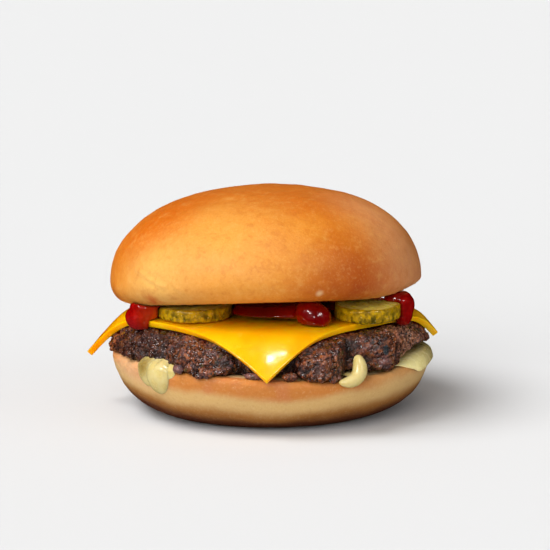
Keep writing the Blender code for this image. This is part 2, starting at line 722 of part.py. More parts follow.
def make_ketchup(finish, neighbours):
    """A pool that fills the opening between slice and crown, with drops at its three bulges."""

    def reach(angle):
        arms = sum(out * bump(angle, middle, width) for middle, width, out in KETCHUP_ARMS)
        return KETCHUP_RADIUS + arms

    def place(share, angle, side):
        a = math.radians(angle)
        r = share * reach(angle)
        x, y = KETCHUP_CENTRE.x + r * math.cos(a), KETCHUP_CENTRE.y + r * math.sin(a)
        floor, roof = SLICE_TOP - back_drop(y) + KETCHUP_CLEAR, under_crown(x, y) - KETCHUP_CLEAR
        rise = KETCHUP_EDGE
        if side > 0:
            rise += (1 - KETCHUP_EDGE) * math.sqrt(max(0.0, 1 - share**6))
        elif side < 0:
            rise *= share**8
        return Vector((x, y, floor + rise * (roof - floor)))

    pond = add_object("ketchup", pool(7, 40, 0.5, place), finish)
    drops = [ball(Vector(centre), Vector(radii)) for centre, radii in KETCHUP_DROPS]
    combine(pond, drops, [grown(piece, GAP) for piece in neighbours])
    return pond


def main():
    clear_scene()
    crust = material("bun crust", (0.62, 0.30, 0.09), 0.45)
    beef = material("seared beef", (0.10, 0.045, 0.028), 0.55)
    cheese = material("processed cheese", (0.95, 0.50, 0.03), 0.35)
    brine = material("pickled cucumber", (0.36, 0.36, 0.07), 0.30)
    tomato = material("ketchup", (0.38, 0.015, 0.008), 0.20)
    cream = material("pale sauce", (0.83, 0.70, 0.34), 0.30)

    heel = make_heel(crust)
    patty = make_patty(beef)
    slice_ = make_cheese(cheese)
    chips = make_pickles(brine)
    crown = make_crown(crust)
    make_sauce(cream, patty, heel)
    make_ketchup(tomato, [slice_, *chips, crown, patty])


main()
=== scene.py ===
import math
import random

import bpy
from mathutils import Matrix, Vector, noise
from mathutils.bvhtree import BVHTree


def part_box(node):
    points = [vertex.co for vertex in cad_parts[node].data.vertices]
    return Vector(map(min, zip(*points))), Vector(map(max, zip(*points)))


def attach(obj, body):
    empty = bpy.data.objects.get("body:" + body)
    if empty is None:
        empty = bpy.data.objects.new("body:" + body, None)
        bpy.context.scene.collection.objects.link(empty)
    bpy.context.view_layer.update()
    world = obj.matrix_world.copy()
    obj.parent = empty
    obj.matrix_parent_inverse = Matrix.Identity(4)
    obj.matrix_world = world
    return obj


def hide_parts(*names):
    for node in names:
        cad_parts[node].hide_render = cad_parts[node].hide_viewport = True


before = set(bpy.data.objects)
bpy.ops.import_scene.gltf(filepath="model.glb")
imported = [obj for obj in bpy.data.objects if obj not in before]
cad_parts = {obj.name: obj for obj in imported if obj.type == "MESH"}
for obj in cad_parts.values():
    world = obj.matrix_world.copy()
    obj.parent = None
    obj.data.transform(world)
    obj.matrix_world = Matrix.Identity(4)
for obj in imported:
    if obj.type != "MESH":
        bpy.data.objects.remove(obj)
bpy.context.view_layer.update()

mm = 0.001
print("frame loaded:", ", ".join(sorted(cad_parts)))


# Looks: a wire is a socket, so maths on it reads as maths

class Wire:
    def __init__(self, look, socket):
        self.look = look
        self.socket = socket

    def maths(self, operation, first, second):
        return self.look.add("ShaderNodeMath", {"operation": operation}, {0: first, 1: second})

    def __add__(self, other):
        return self.maths("ADD", self, other)

    def __sub__(self, other):
        return self.maths("SUBTRACT", self, other)

    def __rsub__(self, other):
        return self.maths("SUBTRACT", other, self)

    def __mul__(self, other):
        return self.maths("MULTIPLY", self, other)

    __radd__ = __add__
    __rmul__ = __mul__


class Look:
    def __init__(self, name, constants):
        self.material = bpy.data.materials.new(name)
        self.material.use_nodes = True
        self.tree = self.material.node_tree
        self.shader = self.tree.nodes["Principled BSDF"]
        for socket, value in constants.items():
            self.shader.inputs[socket].default_value = value
        self.point = self.add("ShaderNodeTexCoord", {}, {}, "Object")

    def add(self, kind, settings, sockets, output=0):
        node = self.tree.nodes.new(kind)
        for name, value in settings.items():
            setattr(node, name, value)
        for name, value in sockets.items():
            if isinstance(value, Wire):
                self.tree.links.new(value.socket, node.inputs[name])
            else:
                node.inputs[name].default_value = value
        return Wire(self, node.outputs[output])

    def vectors(self, operation, first, second, output=0):
        return self.add("ShaderNodeVectorMath", {"operation": operation}, {0: first, 1: second}, output)

    def noise(self, size, detail=2.0, rough=0.5, warp=0.0, at=None):
        sockets = {"Vector": at or self.point, "Scale": 1 / size, "Detail": detail}
        return self.add("ShaderNodeTexNoise", {}, {**sockets, "Roughness": rough, "Distortion": warp})

    def cells(self, size, output="Distance"):
        return self.add("ShaderNodeTexVoronoi", {}, {"Vector": self.point, "Scale": 1 / size}, output)

    def step(self, value, low, high):  # 0 at low, 1 at high
        sockets = {"Value": value, "From Min": low, "From Max": high}
        return self.add("ShaderNodeMapRange", {"interpolation_type": "SMOOTHSTEP"}, sockets)

    def along(self, direction, origin=(0, 0, 0)):  # metres from the origin along a direction
        moved = self.vectors("SUBTRACT", self.point, origin)
        return self.vectors("DOT_PRODUCT", moved, direction, "Value")

    def stretched(self, scale):
        return self.add("ShaderNodeMapping", {}, {"Vector": self.point, "Scale": scale})

    def outward(self, centre=(0, 0, 0)):  # metres from an upright line through the centre
        flat = self.vectors("MULTIPLY", self.point, (1, 1, 0))
        return self.vectors("DISTANCE", flat, centre, "Value")

    def near(self, spot, radius):  # 1 at the spot (in mm), fading to 0 at the radius
        centre = tuple(value * mm for value in spot)
        away = self.vectors("DISTANCE", self.point, centre, "Value")
        return 1 - self.step(away, 0, radius * mm)

    def mix(self, share, first, second):
        return self.add("ShaderNodeMix", {"data_type": "RGBA"}, {0: share, 6: first, 7: second}, 2)

    def tinged(self, tint, spots, within=1.0):  # each spot: place and reach in mm, share, colour
        for spot, radius, share, colour in spots:
            tint = self.mix(self.near(spot, radius) * share * within, tint, paint(*colour))
        return tint

    def bump(self, height, depth, under=None):
        sockets = {"Height": height, "Distance": depth, "Strength": 1.0}
        if under:
            sockets["Normal"] = under
        return self.add("ShaderNodeBump", {}, sockets)

    def wear(self, piece, **finish):
        for socket, wire in finish.items():
            self.tree.links.new(wire.socket, self.shader.inputs[socket.replace("_", " ")])
        piece.data.materials.clear()
        piece.data.materials.append(self.material)


def paint(red, green, blue, share=0.70):  # a colour as a screen shows it, from 0 to 255
    return (*(share * (value / 255) ** 2.2 for value in (red, green, blue)), 1.0)


# Modelling

def activate(piece):
    bpy.ops.object.select_all(action="DESELECT")
    piece.select_set(True)
    bpy.context.view_layer.objects.active = piece


def copyOfNode(node, name):  # a CAD node's form, merged and turned back into quads
    piece = bpy.data.objects.new(name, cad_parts[node].data.copy())
    bpy.context.collection.objects.link(piece)
    activate(piece)
    bpy.ops.mesh.customdata_custom_splitnormals_clear()
    bpy.ops.object.mode_set(mode="EDIT")
    bpy.ops.mesh.select_all(action="SELECT")
    bpy.ops.mesh.remove_doubles(threshold=0.00001)
    bpy.ops.mesh.tris_convert_to_quads(face_threshold=math.radians(50), shape_threshold=math.radians(60))
    bpy.ops.mesh.normals_make_consistent(inside=False)
    bpy.ops.mesh.select_all(action="DESELECT")
    bpy.ops.object.mode_set(mode="OBJECT")
    return piece


def apply(piece, kind, **settings):  # adds a modifier and applies it
    activate(piece)
    modifier = piece.modifiers.new(kind.lower(), kind)
    for name, value in settings.items():
        setattr(modifier, name, value)
    bpy.ops.object.modifier_apply(modifier=modifier.name)


def subdivided(piece, levels):
    apply(piece, "SUBSURF", levels=levels, render_levels=levels)


def selectFaces(piece, wanted):  # leaves the piece in edit mode with those faces selected
    activate(piece)
    bpy.ops.object.mode_set(mode="EDIT")
    bpy.ops.mesh.select_all(action="DESELECT")
    bpy.ops.mesh.select_mode(type="FACE")
    bpy.ops.object.mode_set(mode="OBJECT")
    for face in piece.data.polygons:
        face.select = wanted(face)
    bpy.ops.object.mode_set(mode="EDIT")


def sculpt(piece, move):  # move(point, normal) says where a point goes
    points = [move(vert.co.copy(), vert.normal.copy()) for vert in piece.data.vertices]
    piece.data.vertices.foreach_set("co", [value for point in points for value in point])
    piece.data.update()


def treeOf(piece):
    points = [vert.co for vert in piece.data.vertices]
    return BVHTree.FromPolygons(points, [face.vertices for face in piece.data.polygons])


def keepClear(piece, trees, gap):  # pushes out every point that stands in another piece
    def move(point, normal):
        for tree in trees:
            spot, facing, _, away = tree.find_nearest(point, 4 * mm)
            if spot and (point - spot).dot(facing) < gap:
                point = spot + facing * gap
        return point

    sculpt(piece, move)


def smoothShare(low, high, value):
    share = min(1.0, max(0.0, (value - low) / (high - low)))
    return share * share * (3 - 2 * share)


def rough(point, size, layers=3):  # layered noise, about -1 to 1
    return noise.fractal(point / size, 0.8, 2.0, layers)


def pebbles(point, size):  # rounded lumps with creases between them, 0 to 1
    reach = noise.voronoi(point / size)[0]
    return min(1.0, (reach[1] - reach[0]) * 1.6)


def angleAt(point):  # degrees from +X, so -90 is the front
    return math.degrees(math.atan2(point.y, point.x))


def angleShare(angle, middle, halfWidth):
    apart = (angle - middle + 180) % 360 - 180
    return math.exp(-((apart / halfWidth) ** 2))


def ringed(point, rows):  # each row: angle, half-width, depth in mm
    return sum(depth * mm * angleShare(angleAt(point), angle, width) for angle, width, depth in rows)


def swellAt(point, swells):  # each swell: place and reach in mm, height in mm
    def height(spot, reach, rise):
        return rise * mm * math.exp(-(((point - Vector(spot) * mm).length / (reach * mm)) ** 2))

    return sum(height(*swell) for swell in swells)


def settle(piece, node):
    activate(piece)
    bpy.ops.object.shade_smooth()
    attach(piece, "root")
    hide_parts(node)
    piece.data.calc_loop_triangles()
    print("made", piece.name, "with", len(piece.data.loop_triangles), "triangles")


# Bun crown

crown = {
    "centre": Vector((-1.5, 0, 36.7)) * mm,
    "up": Vector((-0.0278, 0.0941, 0.9952)),
    "swell": 0.30 * mm,
    "dimple": 0.09 * mm,
    "raggedEdge": 0.16 * mm,
    "tornEdge": 0.55 * mm,
    "tear": (-8, 26),  # where the lower edge is torn: angle, half-width
    "creases": (  # from, to, in mm, and how high they stand
        ((-43.2, -30.0, 50.2), (-37.5, -36.3, 47.6), 0.20),
        ((-37.5, -36.3, 47.6), (-33.4, -40.2, 46.2), 0.16),
        ((-31.6, -41.4, 48.2), (-28.2, -43.7, 45.2), 0.12),
    ),
    "creaseWidth": 0.75 * mm,
    "creaseReach": 14 * mm,
    "leftTingesAndLight": (  # place and reach in mm, share, colour: a paler bake, partly painted light where the light falls on the left
        ((-16, -44, 60), 34, 0.80, (242, 170, 76)),
        ((-37, -37, 47), 26, 0.90, (242, 184, 96)),
        ((-2, -48, 52), 26, 0.35, (236, 156, 66)),
        ((-36, -18, 66), 24, 0.75, (218, 104, 6)),
    ),
    # darker brown at the lower right: partly the bake, partly painted shade on the side turned from the
    # light
    "brownedAndShaded": ((27, -43, 46), 27, (180, 76, 4)),
    # painted sheen and shade: pinkish tan on the right, where the crust turns from the light at a grazing
    # angle
    "rightSheenAndShade": (
        ((34, -16, 66), 26, 0.60, (236, 160, 108)),
        ((40, -28, 57), 20, 0.40, (226, 148, 90)),
        ((46, -22, 49), 26, 0.70, (226, 152, 104)),
        ((48, -8, 41), 17, 0.60, (216, 140, 98)),
    ),
    "fleck": (((15.3, -47.2, 45), 1.9, 0.75, (250, 222, 170)),),
}


def segmentAway(point, start, end):
    line = end - start
    share = min(1.0, max(0.0, (point - start).dot(line) / line.length_squared))
    return (point - start - line * share).length


def makeCrown():
    piece = copyOfNode("bun_crown", "bunCrown")
    subdivided(piece, 3)
    creases = [(Vector(a) * mm, Vector(b) * mm, height * mm) for a, b, height in crown["creases"]]
    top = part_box("bun_crown")[1][2]

    def move(point, normal):
        height = (point - crown["centre"]).dot(crown["up"])
        away = crown["swell"] * rough(point, 17 * mm, 2) + crown["dimple"] * rough(point, 5 * mm, 2)
        away *= smoothShare(0, 4 * mm, height)
        edge = smoothShare(3.0 * mm, 0.4 * mm, height)
        away += crown["raggedEdge"] * edge * rough(point, 1.9 * mm, 2)
        torn = angleShare(angleAt(point), *crown["tear"]) * smoothShare(7.5 * mm, 1.5 * mm, height)
        away += crown["tornEdge"] * torn * (rough(point, 1.6 * mm, 3) - 0.25)
        for start, end, lift in creases:
            if (point - start).length < crown["creaseReach"]:
                across = segmentAway(point, start, end) / crown["creaseWidth"]
                away += lift * (math.exp(-across * across) - 0.8 * math.exp(-((across - 1.8) ** 2)))
        moved = point + normal * away
        moved.z = min(moved.z, top)
        return moved

    sculpt(piece, move)
    look = Look("goldenCrust", {
        "Subsurface Weight": 0.12, "Subsurface Radius": (1.0, 0.5, 0.2), "Subsurface Scale": 1.5 * mm,
        "Specular IOR Level": 0.22,
    })
    height = look.along(crown["up"], crown["centre"])
    clouds = look.noise(22 * mm, 2)
    mottle = look.noise(6 * mm, 3, 0.6)
    tint = look.mix(look.step(clouds + 0.25 * mottle, 0.42, 0.82), paint(236, 146, 46), paint(220, 118, 26))
    tint = look.mix(look.step(height, 20 * mm, 37 * mm) * 0.75, tint, paint(214, 112, 34))
    # paler patches on the left: partly the bake, partly painted light
    tint = look.tinged(tint, crown["leftTingesAndLight"])
    # painted shade, partly real browning: darker brown at the lower right
    spot, reach, colour = crown["brownedAndShaded"]
    tint = look.mix(look.near(spot, reach) * (0.55 + 0.6 * mottle), tint, paint(*colour))
    # painted sheen and shade on the right side
    tint = look.tinged(tint, crown["rightSheenAndShade"])
    speckle = look.noise(0.9 * mm, 3, 0.7)
    tint = look.mix(look.step(speckle, 0.50, 0.78) * 0.20, tint, paint(176, 74, 6))
    tint = look.mix(look.step(speckle, 0.50, 0.24) * 0.18, tint, paint(255, 204, 124))
    flecks = look.noise(3.2 * mm, 4, 0.65)
    tint = look.mix(look.step(flecks, 0.50, 0.70) * 0.28, tint, paint(196, 96, 20))
    tint = look.mix(look.step(flecks, 0.48, 0.30) * 0.22, tint, paint(250, 190, 104))
    tear = look.near((47, -8, 40), 24) * (4.4 * mm)
    crumbLine = height + (1.0 * mm) * look.noise(1.6 * mm, 3, 0.7) - tear
    tint = look.mix(1 - look.step(crumbLine, 0.25 * mm, 0.9 * mm), tint, paint(230, 180, 116))
    toast = look.noise(7 * mm, 3, 0.6)
    underside = (1 - look.step(height, 0.05 * mm, 0.35 * mm)) * look.step(toast, 0.40, 0.68)
    tint = look.mix(underside * 0.7, tint, paint(190, 116, 52))
    tint = look.tinged(tint, crown["fleck"])
    stain = look.near((-37.2, -35.0, 39.6), 6.0) * look.step(look.noise(3.0 * mm, 2, 0.5), 0.30, 0.62)
    tint = look.mix(stain * 0.9, tint, paint(204, 84, 20))
    pores = look.cells(0.75 * mm)
    sheen = 0.40 + 0.16 * look.noise(9 * mm, 2) - 0.05 * look.step(speckle, 0.4, 0.7)
    relief = look.bump(speckle, 0.10 * mm)
    relief = look.bump(look.step(pores, 0.0, 0.32), 0.03 * mm, relief)
    relief = look.bump(look.noise(0.28 * mm, 2, 0.6), 0.022 * mm, relief)
    look.wear(piece, Base_Color=tint, Roughness=sheen, Normal=relief)
    settle(piece, "bun_crown")
    return piece


# Bun heel

heel = {
    "swell": 0.22 * mm,
    "dimple": 0.07 * mm,
    "ragged": 0.20 * mm,
    "scorchedAndShaded": (108, 54, 27),  # the colour at the base, dark crust with painted contact shade, then bands from and to a level in mm
    "bands": ((2.0, 6.4, (176, 116, 56)), (5.4, 9.6, (228, 184, 118)), (11.0, 14.6, (212, 132, 62))),
    "tinges": (  # place and reach in mm, share, colour
        ((-46, -26, 16), 24, 0.8, (228, 178, 128)),
        ((40, -36, 16), 22, 0.5, (234, 186, 120)),
    ),
}


def makeHeel():
    piece = copyOfNode("bun_heel", "bunHeel")
    subdivided(piece, 3)

    def move(point, normal):
        away = heel["swell"] * rough(point, 15 * mm, 2) + heel["dimple"] * rough(point, 4 * mm, 2)
        away *= smoothShare(0, 4 * mm, point.z)
        rim = smoothShare(15.2 * mm, 17.0 * mm, point.z) * smoothShare(44 * mm, 50 * mm, point.xy.length)
        away += heel["ragged"] * rim * rough(point, 1.8 * mm, 3)
        moved = point + normal * away
        moved.z = max(0.0, moved.z)
        return moved

    sculpt(piece, move)
    look = Look("paleCrust", {
        "Subsurface Weight": 0.12, "Subsurface Radius": (1.0, 0.5, 0.2), "Subsurface Scale": 1.5 * mm,
        "Specular IOR Level": 0.2,
    })
    wobble = look.noise(14 * mm, 2)
    fine = look.noise(2.2 * mm, 3, 0.6)
    across = look.along((1, 0, 0))
    sides = across * across * 1.5  # painted shade: the darker bands climb higher at the left and right
    level = look.along((0, 0, 1)) + (wobble - 0.5) * (4.0 * mm) + (fine - 0.5) * (1.0 * mm) - sides
    # dark crust at the base, partly painted contact shade
    tint = paint(*heel["scorchedAndShaded"])
    for low, high, colour in heel["bands"]:
        tint = look.mix(look.step(level, low * mm, high * mm), tint, paint(*colour))
    rosy = look.step(look.noise(11 * mm, 2), 0.46, 0.62) * look.step(level, 11.5 * mm, 14.0 * mm)
    tint = look.mix(rosy * 0.5, tint, paint(214, 130, 84))
    tint = look.tinged(tint, heel["tinges"], look.step(level, 7.5 * mm, 12.5 * mm))
    flour = look.step(look.noise(1.3 * mm, 4, 0.7), 0.58, 0.72) * look.step(level, 14.0 * mm, 16.4 * mm)
    tint = look.mix(flour * 0.4, tint, paint(248, 216, 160))
    speckle = look.noise(0.9 * mm, 3, 0.7)
    tint = look.mix(look.step(speckle, 0.50, 0.75) * 0.16, tint, paint(160, 92, 40))
    tint = look.mix(look.step(speckle, 0.48, 0.28) * 0.12, tint, paint(255, 222, 168))
    onTop = look.step(look.along((0, 0, 1)), 16.95 * mm, 17.3 * mm)
    onTop *= look.step(look.outward(), 50.6 * mm, 49.4 * mm)
    tint = look.mix(onTop * (0.35 + 0.6 * look.noise(3.5 * mm, 3)), tint, paint(246, 216, 156))
    relief = look.bump(speckle, 0.09 * mm)
    relief = look.bump(look.noise(0.28 * mm, 2, 0.6), 0.02 * mm, relief)
    look.wear(piece, Base_Color=tint, Roughness=0.52 + 0.12 * wobble, Normal=relief)
    settle(piece, "bun_heel")
    return piece


# Cheese slice

cheese = {
    "edge": 0.30 * mm,
    "wave": 0.16 * mm,
    "calmFrom": -42 * mm,  # in front of this the slice lies flatter
    "calm": 0.4,
    "tinges": (
        ((-57, 0, 24), 17, 1.0, (248, 148, 6, 0.85)),
        # painted light: the right strip made paler where it lies in shade
        ((52, 0, 26), 14, 0.5, (255, 196, 60, 0.9)),
    ),
    "swells": (  # place and reach in mm, height: soft swells that catch the light by the front corner
        ((-1.0, -52.4, 24.8), 4.2, 0.34),
        ((5.6, -51.0, 27.4), 2.4, 0.16),
    ),
}


def makeCheese():
    piece = copyOfNode("cheese_slice", "cheeseSlice")
    corner = math.radians(50)
    apply(piece, "BEVEL", width=cheese["edge"], segments=2, limit_method="ANGLE", angle_limit=corner)
    subdivided(piece, 2)

    def move(point, normal):
        outer = smoothShare(40 * mm, 50 * mm, point.xy.length)
        away = cheese["wave"] * (0.4 + 0.6 * outer) * rough(point, 8 * mm, 2)
        if point.y < cheese["calmFrom"]:
            away *= cheese["calm"]
        return point + normal * (away + swellAt(point, cheese["swells"]))

    sculpt(piece, move)
    look = Look("meltedCheese", {
        "Subsurface Weight": 0.70, "Subsurface Radius": (1.0, 0.55, 0.04), "Subsurface Scale": 4.5 * mm,
        "Specular IOR Level": 0.40, "Coat Roughness": 0.05,
    })
    patch = look.noise(9 * mm, 2)
    tint = look.mix(look.step(patch, 0.35, 0.65), paint(255, 164, 4, 1), paint(255, 176, 14, 1))
    # the right strip's paler tinge is painted light
    tint = look.tinged(tint, cheese["tinges"])
    sweat = look.step(look.noise(3 * mm, 3, 0.6), 0.55, 0.72)
    tint = look.mix(sweat * 0.25, tint, paint(255, 208, 62, 1))
    relief = look.bump(look.noise(2.4 * mm, 3), 0.05 * mm)
    relief = look.bump(look.noise(0.5 * mm, 2), 0.010 * mm, relief)
    gloss = 0.15 + 0.4 * sweat
    look.wear(piece, Base_Color=tint, Roughness=0.12 + 0.12 * patch, Coat_Weight=gloss, Normal=relief)
    settle(piece, "cheese_slice")
    return piece


# Beef patty

beef = {
    "hidden": 40 * mm,  # nearer the middle than this nothing shows
    "pebbles": (  # size and height in mm, the share that sinks, how far they are bent further
        (4.6, 1.05, 0.30, 0.0),
        (1.9, 0.52, 0.25, 0.3),
        (0.95, 0.22, 0.30, 0.0),
    ),
    "grit": 0.14 * mm,
    "bend": 0.9,
    "hem": 0.55 * mm,  # how far the bottom edge stands out over the heel's rim
    "clefts": (  # angle, half-width in degrees, depth in mm
        (-102.5, 2.6, 3.0),
        (-81.5, 2.2, 2.6),
        (-59.5, 2.2, 1.2),
        (-133, 2.0, 0.6),
    ),
    "hangs": ((-136, 11, 2.9), (-61, 4, 1.0)),  # where the edge hangs lower, in the same form
    "glints": (  # place and radius in mm: where painted glints gather, pale dots standing for beads of fat and juice that catch the light
        ((-23.9, -47.5, 26.9), 11),
        ((16.6, -50.4, 26.5), 10),
        ((43.4, -19.6, 28.5), 12),
        ((-38, -35, 27), 12),
    ),
    "crumbs": 1200,
    "crumbSize": (0.38, 0.75, 2.2),  # smallest in mm, the range above it, and how rare large ones are
    "strands": 240,
    "strandSize": (0.35, 0.55),
    "lobes": (  # place, then half-sizes along the edge, up and out, in mm
        ((-29.2, -44.6, 20.6), (2.1, 1.6, 1.5)),
        ((-46.0, -26.8, 22.2), (2.2, 1.5, 1.4)),
        ((-20.0, -49.2, 20.4), (2.6, 1.6, 1.4)),
        ((-5.5, -50.4, 19.6), (3.0, 1.3, 1.4)),
        ((6.0, -50.8, 19.5), (2.6, 1.4, 1.4)),
        ((36.8, -37.6, 21.6), (3.0, 1.4, 1.4)),
    ),
    "specks": (  # place and radius in mm, share, colour
        ((-37.6, -25.5, 18.6), 3.4, 0.85, (34, 42, 18)),
        ((36.8, -38.3, 25.6), 2.6, 0.8, (30, 74, 84)),
        ((38.7, -37.0, 23.0), 3.0, 0.8, (170, 104, 62)),
        ((-34.0, -30.0, 31.0), 3.6, 0.6, (92, 92, 36)),
        ((-29.2, -45.6, 20.6), 3.4, 0.6, (122, 88, 92)),
        ((36.8, -39.0, 21.6), 4.2, 0.5, (132, 98, 98)),
        ((-6.0, -51.5, 19.6), 5.0, 0.5, (120, 82, 84)),
        ((30.2, -42.0, 24.5), 3.4, 0.5, (150, 72, 44)),
    ),
    # darker towards the left
    "darkerLeft": (((-42, -30, 25), 24, 0.70, (44, 20, 15)),),
}


def makePatty(clearOf):
    piece = copyOfNode("beef_patty", "beefPatty")
    subdivided(piece, 1)
    selectFaces(piece, lambda face: face.center.xy.length > beef["hidden"] + 0.5 * mm)
    bpy.ops.mesh.subdivide(number_cuts=4)
    bpy.ops.object.mode_set(mode="OBJECT")
    apply(piece, "SMOOTH", factor=0.5, iterations=4)

    depths = []

    def move(point, normal):
        out = point.xy.length
        outer = smoothShare(beef["hidden"], 46 * mm, out)
        if outer <= 0:
            depths.append(0.0)
            return point
        beside = point + Vector((1, 0, 0))
        warp = Vector((rough(point, 3 * mm, 2), rough(beside, 3 * mm, 2), rough(point, 2.5 * mm, 2)))
        bent = point + warp * beef["bend"] * mm
        away = beef["grit"] * rough(point, 0.8 * mm, 3)
        for size, height, sunk, further in beef["pebbles"]:
            away += height * mm * (pebbles(bent + warp * further * mm, size * mm) - sunk)
        cleft = ringed(point, beef["clefts"]) * smoothShare(44 * mm, 49 * mm, out)
        # painted shade: how deep each point sits in a crevice
        depths.append(smoothShare(0.15 * mm, -0.45 * mm, away - 0.6 * cleft))
        low = smoothShare(21.5 * mm, 19 * mm, point.z) * smoothShare(48 * mm, 50 * mm, out)
        hem = Vector((point.x, point.y, -0.35 * out)).normalized() * beef["hem"] * low
        hang = ringed(point, beef["hangs"])
        hang *= smoothShare(25 * mm, 21.5 * mm, point.z) * smoothShare(47 * mm, 50 * mm, out)
        hem += Vector((point.x, point.y, 0)).normalized() * 0.6 * hang - Vector((0, 0, 1)) * hang
        inward = Vector((-point.x, -point.y, 0)).normalized() * cleft
        return point + normal * away * outer + hem + inward

    sculpt(piece, move)
    keepClear(piece, clearOf, 0.12 * mm)
    # painted shade for the crevices, kept on the points
    hollow = piece.data.attributes.new("hollow", "FLOAT", "POINT")
    hollow.data.foreach_set("value", depths)
    return piece


def lumpShape(seed, stretch):  # one crumb of ground beef, about 1 across
    bpy.ops.mesh.primitive_ico_sphere_add(subdivisions=2, radius=1.0)
    lump = bpy.context.object
    offset = Vector((seed * 3.1, seed * 1.7, 0))
    sculpt(lump, lambda point, normal: Vector((
        point.x * stretch, point.y, point.z)) + normal * 0.34 * rough(point * 1.1 + offset, 1.0, 2))
    verts = [vert.co.copy() for vert in lump.data.vertices]
    faces = [tuple(face.vertices) for face in lump.data.polygons]
    bpy.data.objects.remove(lump)
    return verts, faces


def scatter(name, shapes, places):  # one mesh of many copies, each at its own place
    verts, faces = [], []
    for kind, place in places:
        base = len(verts)
        points, sides = shapes[kind]
        verts += [place @ point for point in points]
        faces += [tuple(base + corner for corner in side) for side in sides]
    mesh = bpy.data.meshes.new(name)
    mesh.from_pydata(verts, [], faces)
    piece = bpy.data.objects.new(name, mesh)
    bpy.context.collection.objects.link(piece)
    return piece


def turned(normal, spin):
    return (normal.to_track_quat("Z", "X").to_matrix() @ Matrix.Rotation(spin, 3, "Z")).to_4x4()


def makeCrumbs(patty, clearOf):
    random.seed(11)
    faces = [f for f in patty.data.polygons if f.center.xy.length > 44 * mm]
    chosen = random.choices(faces, [f.area for f in faces], k=beef["crumbs"] + beef["strands"])
    shapes = [lumpShape(seed, 1.0) for seed in range(5)] + [lumpShape(seed, 2.3) for seed in range(5, 8)]
    places = []
    least, above, rarity = beef["crumbSize"]
    for i, face in enumerate(chosen):
        strand = i >= beef["crumbs"]
        size = random.uniform(*beef["strandSize"]) if strand else least + above * random.random() ** rarity
        normal = (face.normal + Vector(random.uniform(-0.4, 0.4) for _ in range(3))).normalized()
        spot = Vector(face.center) - normal * size * 0.35 * mm
        flat = Matrix.Diagonal((size * mm, size * mm * random.uniform(0.7, 1.0), size * mm * 0.8, 1))
        kind = random.randrange(5, 8) if strand else random.randrange(5)
        places.append((kind, Matrix.Translation(spot) @ turned(normal, random.uniform(0, 6.3)) @ flat))
    for place, (along, up, out) in beef["lobes"]:
        spot = Vector(place) * mm
        facing = Vector((spot.x, spot.y, 0)).normalized()
        sizes = Matrix.Diagonal((along * mm, up * mm, out * mm, 1))
        basis = Matrix((facing.cross(Vector((0, 0, 1))), Vector((0, 0, 1)), facing)).transposed().to_4x4()
        places.append((len(places) % 5, Matrix.Translation(spot) @ basis @ sizes))
    piece = scatter("beefCrumbs", shapes, places)
    keepClear(piece, clearOf, 0.05 * mm)
    return piece


def beefLook():
    look = Look("searedBeef", {
        "Subsurface Weight": 0.05, "Subsurface Radius": (1.0, 0.3, 0.15), "Subsurface Scale": 0.8 * mm,
        "Specular IOR Level": 0.5, "Coat Roughness": 0.10,
    })
    clumps = look.noise(5 * mm, 3, 0.6)
    grain = look.noise(0.9 * mm, 4, 0.7, 0.4)
    bits = look.cells(1.1 * mm, "Color")
    pick = look.add("ShaderNodeSeparateColor", {}, {"Color": bits}, 0)
    other = look.add("ShaderNodeSeparateColor", {}, {"Color": bits}, 1)
    tint = look.mix(look.step(grain, 0.40, 0.66), paint(52, 22, 15, 0.9), paint(150, 82, 52, 0.9))
    tint = look.mix(look.step(clumps, 0.50, 0.66) * 0.6, tint, paint(106, 76, 76, 0.9))
    tint = look.mix(look.step(pick, 0.72, 0.90) * 0.45, tint, paint(166, 98, 52, 0.9))
    tint = look.mix(look.step(pick, 0.34, 0.12) * 0.65, tint, paint(32, 17, 18))
    tint = look.mix(look.step(other, 0.965, 0.985) * 0.6, tint, paint(186, 104, 48))
    tint = look.mix(look.step(other, 0.02, 0.01) * 0.7, tint, paint(84, 86, 40))
    for spot, radius, share, hue in beef["specks"]:
        tint = look.mix(look.step(look.near(spot, radius), 0.25, 0.45) * share, tint, paint(*hue))
    char = look.step(look.noise(8 * mm, 3, 0.6), 0.50, 0.64)
    tint = look.mix(char * 0.6, tint, paint(30, 19, 21))
    # painted light: the right side lightened where it turns away from the key light
    light = look.near((43, -22, 28), 17) * look.step(grain, 0.42, 0.58)
    tint = look.mix(light * 0.9, tint, paint(222, 156, 122, 0.9))
    hollow = look.add("ShaderNodeAttribute", {"attribute_name": "hollow"}, {}, "Fac")
    # painted shade: crevices darkened almost to black
    tint = look.mix(hollow * 0.85, tint, paint(20, 8, 8))
    # darker towards the left
    tint = look.tinged(tint, beef["darkerLeft"])
    # painted glints: pale dots in the base colour, thickest at the listed glint places
    beads = look.step(look.cells(0.75 * mm), 0.26, 0.15) * look.step(look.noise(2.2 * mm, 2), 0.42, 0.54)
    shiny = sum(look.near(spot, radius) for spot, radius in beef["glints"])
    tint = look.mix(beads * (0.12 + 0.65 * shiny), tint, paint(232, 214, 212, 0.9))
    wet = look.step(look.noise(2.6 * mm, 3, 0.6), 0.42, 0.60)
    relief = look.bump(look.noise(0.6 * mm, 4, 0.75), 0.34 * mm)
    relief = look.bump(look.cells(0.50 * mm), 0.14 * mm, relief)
    finish = {"Roughness": 0.44 - 0.27 * wet, "Coat_Weight": 0.8 * wet}
    return look, {"Base_Color": tint, "Normal": relief, **finish}


# Pickle chips

pickle = {
    "voxel": 0.32 * mm,
    "bumps": 0.17 * mm,
    "seeds": 0.22 * mm,
    "seedSize": 2.6 * mm,
    "axes": {"pickle_left": (-24.6, -22.2), "pickle_right": (30.9, -24.5)},
    "radius": {"pickle_left": 12.2, "pickle_right": 10.7},
}


